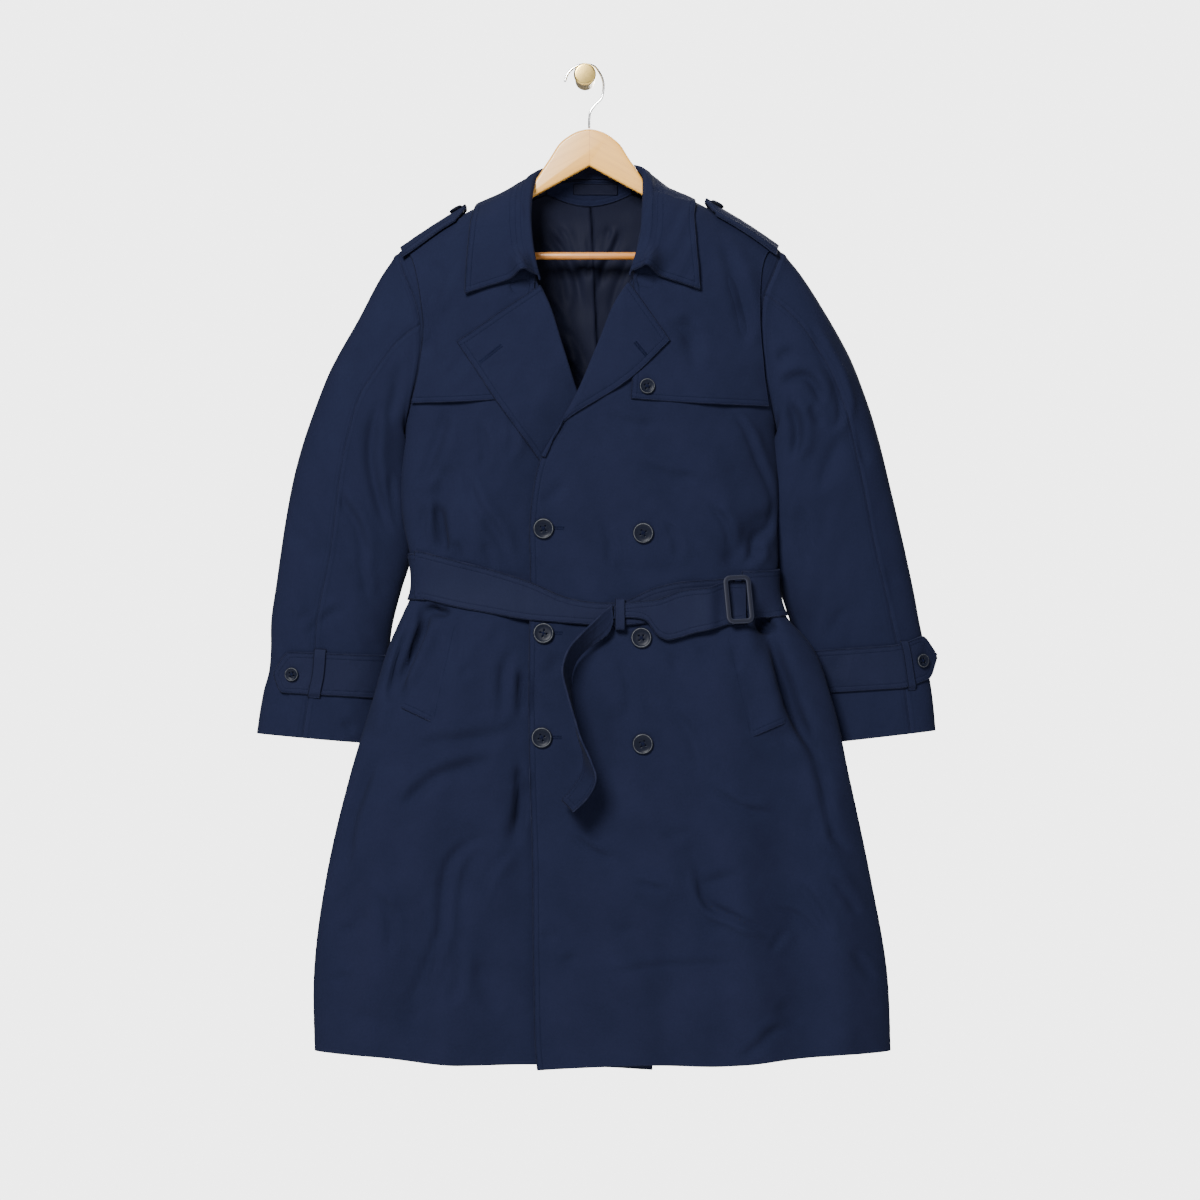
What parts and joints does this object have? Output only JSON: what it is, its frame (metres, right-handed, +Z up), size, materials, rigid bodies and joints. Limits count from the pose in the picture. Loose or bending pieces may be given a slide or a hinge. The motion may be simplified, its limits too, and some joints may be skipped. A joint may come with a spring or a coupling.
{
  "type": "trench coat",
  "caption": "Men's double-breasted belted trench coat in navy cotton, buttoned and belted, hanging on a wooden hanger from a round wall peg.",
  "frame": {"origin": "centre of the round peg's flat face against the wall", "axes": "+Y into the wall, so the coat's front looks along -Y; +X to the right as seen from the front; +Z up"},
  "size_m": [0.8268, 0.1582, 1.2126],
  "materials": {
    "navy_cloth": "cotton gabardine with a slight sheen",
    "navy_trim": "the same gabardine, doubled and topstitched",
    "lining": "satin",
    "button": "polished",
    "buckle": "smooth covering",
    "wood": "clear lacquer",
    "chrome": "polished",
    "brass": "polished"
  },
  "bodies": {
    "root": {"back_lining": "lining", "back_skirt_left": "navy_cloth", "back_skirt_right": "navy_cloth", "back_upper_left": "navy_cloth", "back_upper_right": "navy_cloth", "belt_buckle": "buckle", "belt_folded": "navy_trim", "belt_keeper": "navy_trim", "belt_left": "navy_trim", "belt_round": "navy_trim", "belt_tail": "navy_trim", "button_flap": "button", "button_large_1": "button", "button_large_2": "button", "button_large_3": "button", "button_large_4": "button", "button_large_5": "button", "button_large_6": "button", "collar_leaf": "navy_cloth", "collar_stand": "navy_cloth", "cuff_button_left": "button", "cuff_button_right": "button", "cuff_loop_left": "navy_trim", "cuff_loop_right": "navy_trim", "cuff_strap_left": "navy_trim", "cuff_strap_right": "navy_trim", "epaulette_button_left": "button", "epaulette_button_right": "button", "epaulette_left": "navy_trim", "epaulette_right": "navy_trim", "front_over": "navy_cloth", "front_under": "navy_cloth", "hanger_bar": "wood", "hanger_hook": "chrome", "hanger_wood": "wood", "lapel_left": "navy_cloth", "lapel_right": "navy_cloth", "neck_facing": "navy_cloth", "neck_label": "navy_trim", "pocket_welt_left": "navy_cloth", "pocket_welt_right": "navy_cloth", "sleeve_forearm_left": "navy_cloth", "sleeve_forearm_right": "navy_cloth", "sleeve_under_left": "navy_cloth", "sleeve_under_right": "navy_cloth", "sleeve_upper_left": "navy_cloth", "sleeve_upper_right": "navy_cloth", "storm_flap_left": "navy_cloth", "storm_flap_right": "navy_cloth", "wall_peg": "brass"}
  },
  "joints": []
}
